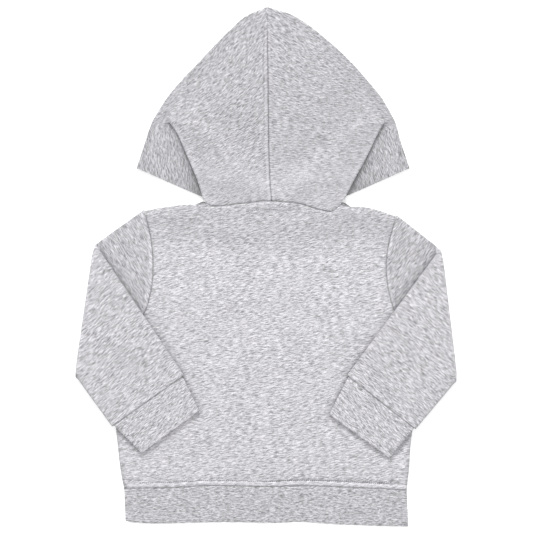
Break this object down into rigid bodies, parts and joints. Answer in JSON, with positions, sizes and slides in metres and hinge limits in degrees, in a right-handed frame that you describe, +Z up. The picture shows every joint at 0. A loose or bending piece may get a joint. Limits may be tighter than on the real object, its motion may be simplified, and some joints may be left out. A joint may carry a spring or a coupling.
{
  "type": "toddler hoodie",
  "caption": "Toddler pullover hoodie in marl fleece, lying flat on its front with its hood spread above the neck and its sleeves folded over the back; rib cuffs and waistband.",
  "frame": {"origin": "on the surface it lies on, under the middle of the garment's bounding box", "axes": "+X to the wearer's right, which is the right of someone looking down at the back; +Y from the hem to the hood; +Z up from the surface"},
  "size_m": [0.3912, 0.5302, 0.0092],
  "materials": {
    "fleece": "light grey marl cotton fleece, matt, short uneven streaks of darker and paler yarn",
    "rib": "light grey marl knit rib, matt, doubled at cuffs and waistband"
  },
  "bodies": {
    "root": {"back": "fleece", "front": "fleece", "hood_left": "fleece", "hood_right": "fleece", "sleeve_left": "fleece", "sleeve_right": "fleece", "cuff_left": "rib", "cuff_right": "rib", "waistband": "rib"}
  },
  "joints": []
}
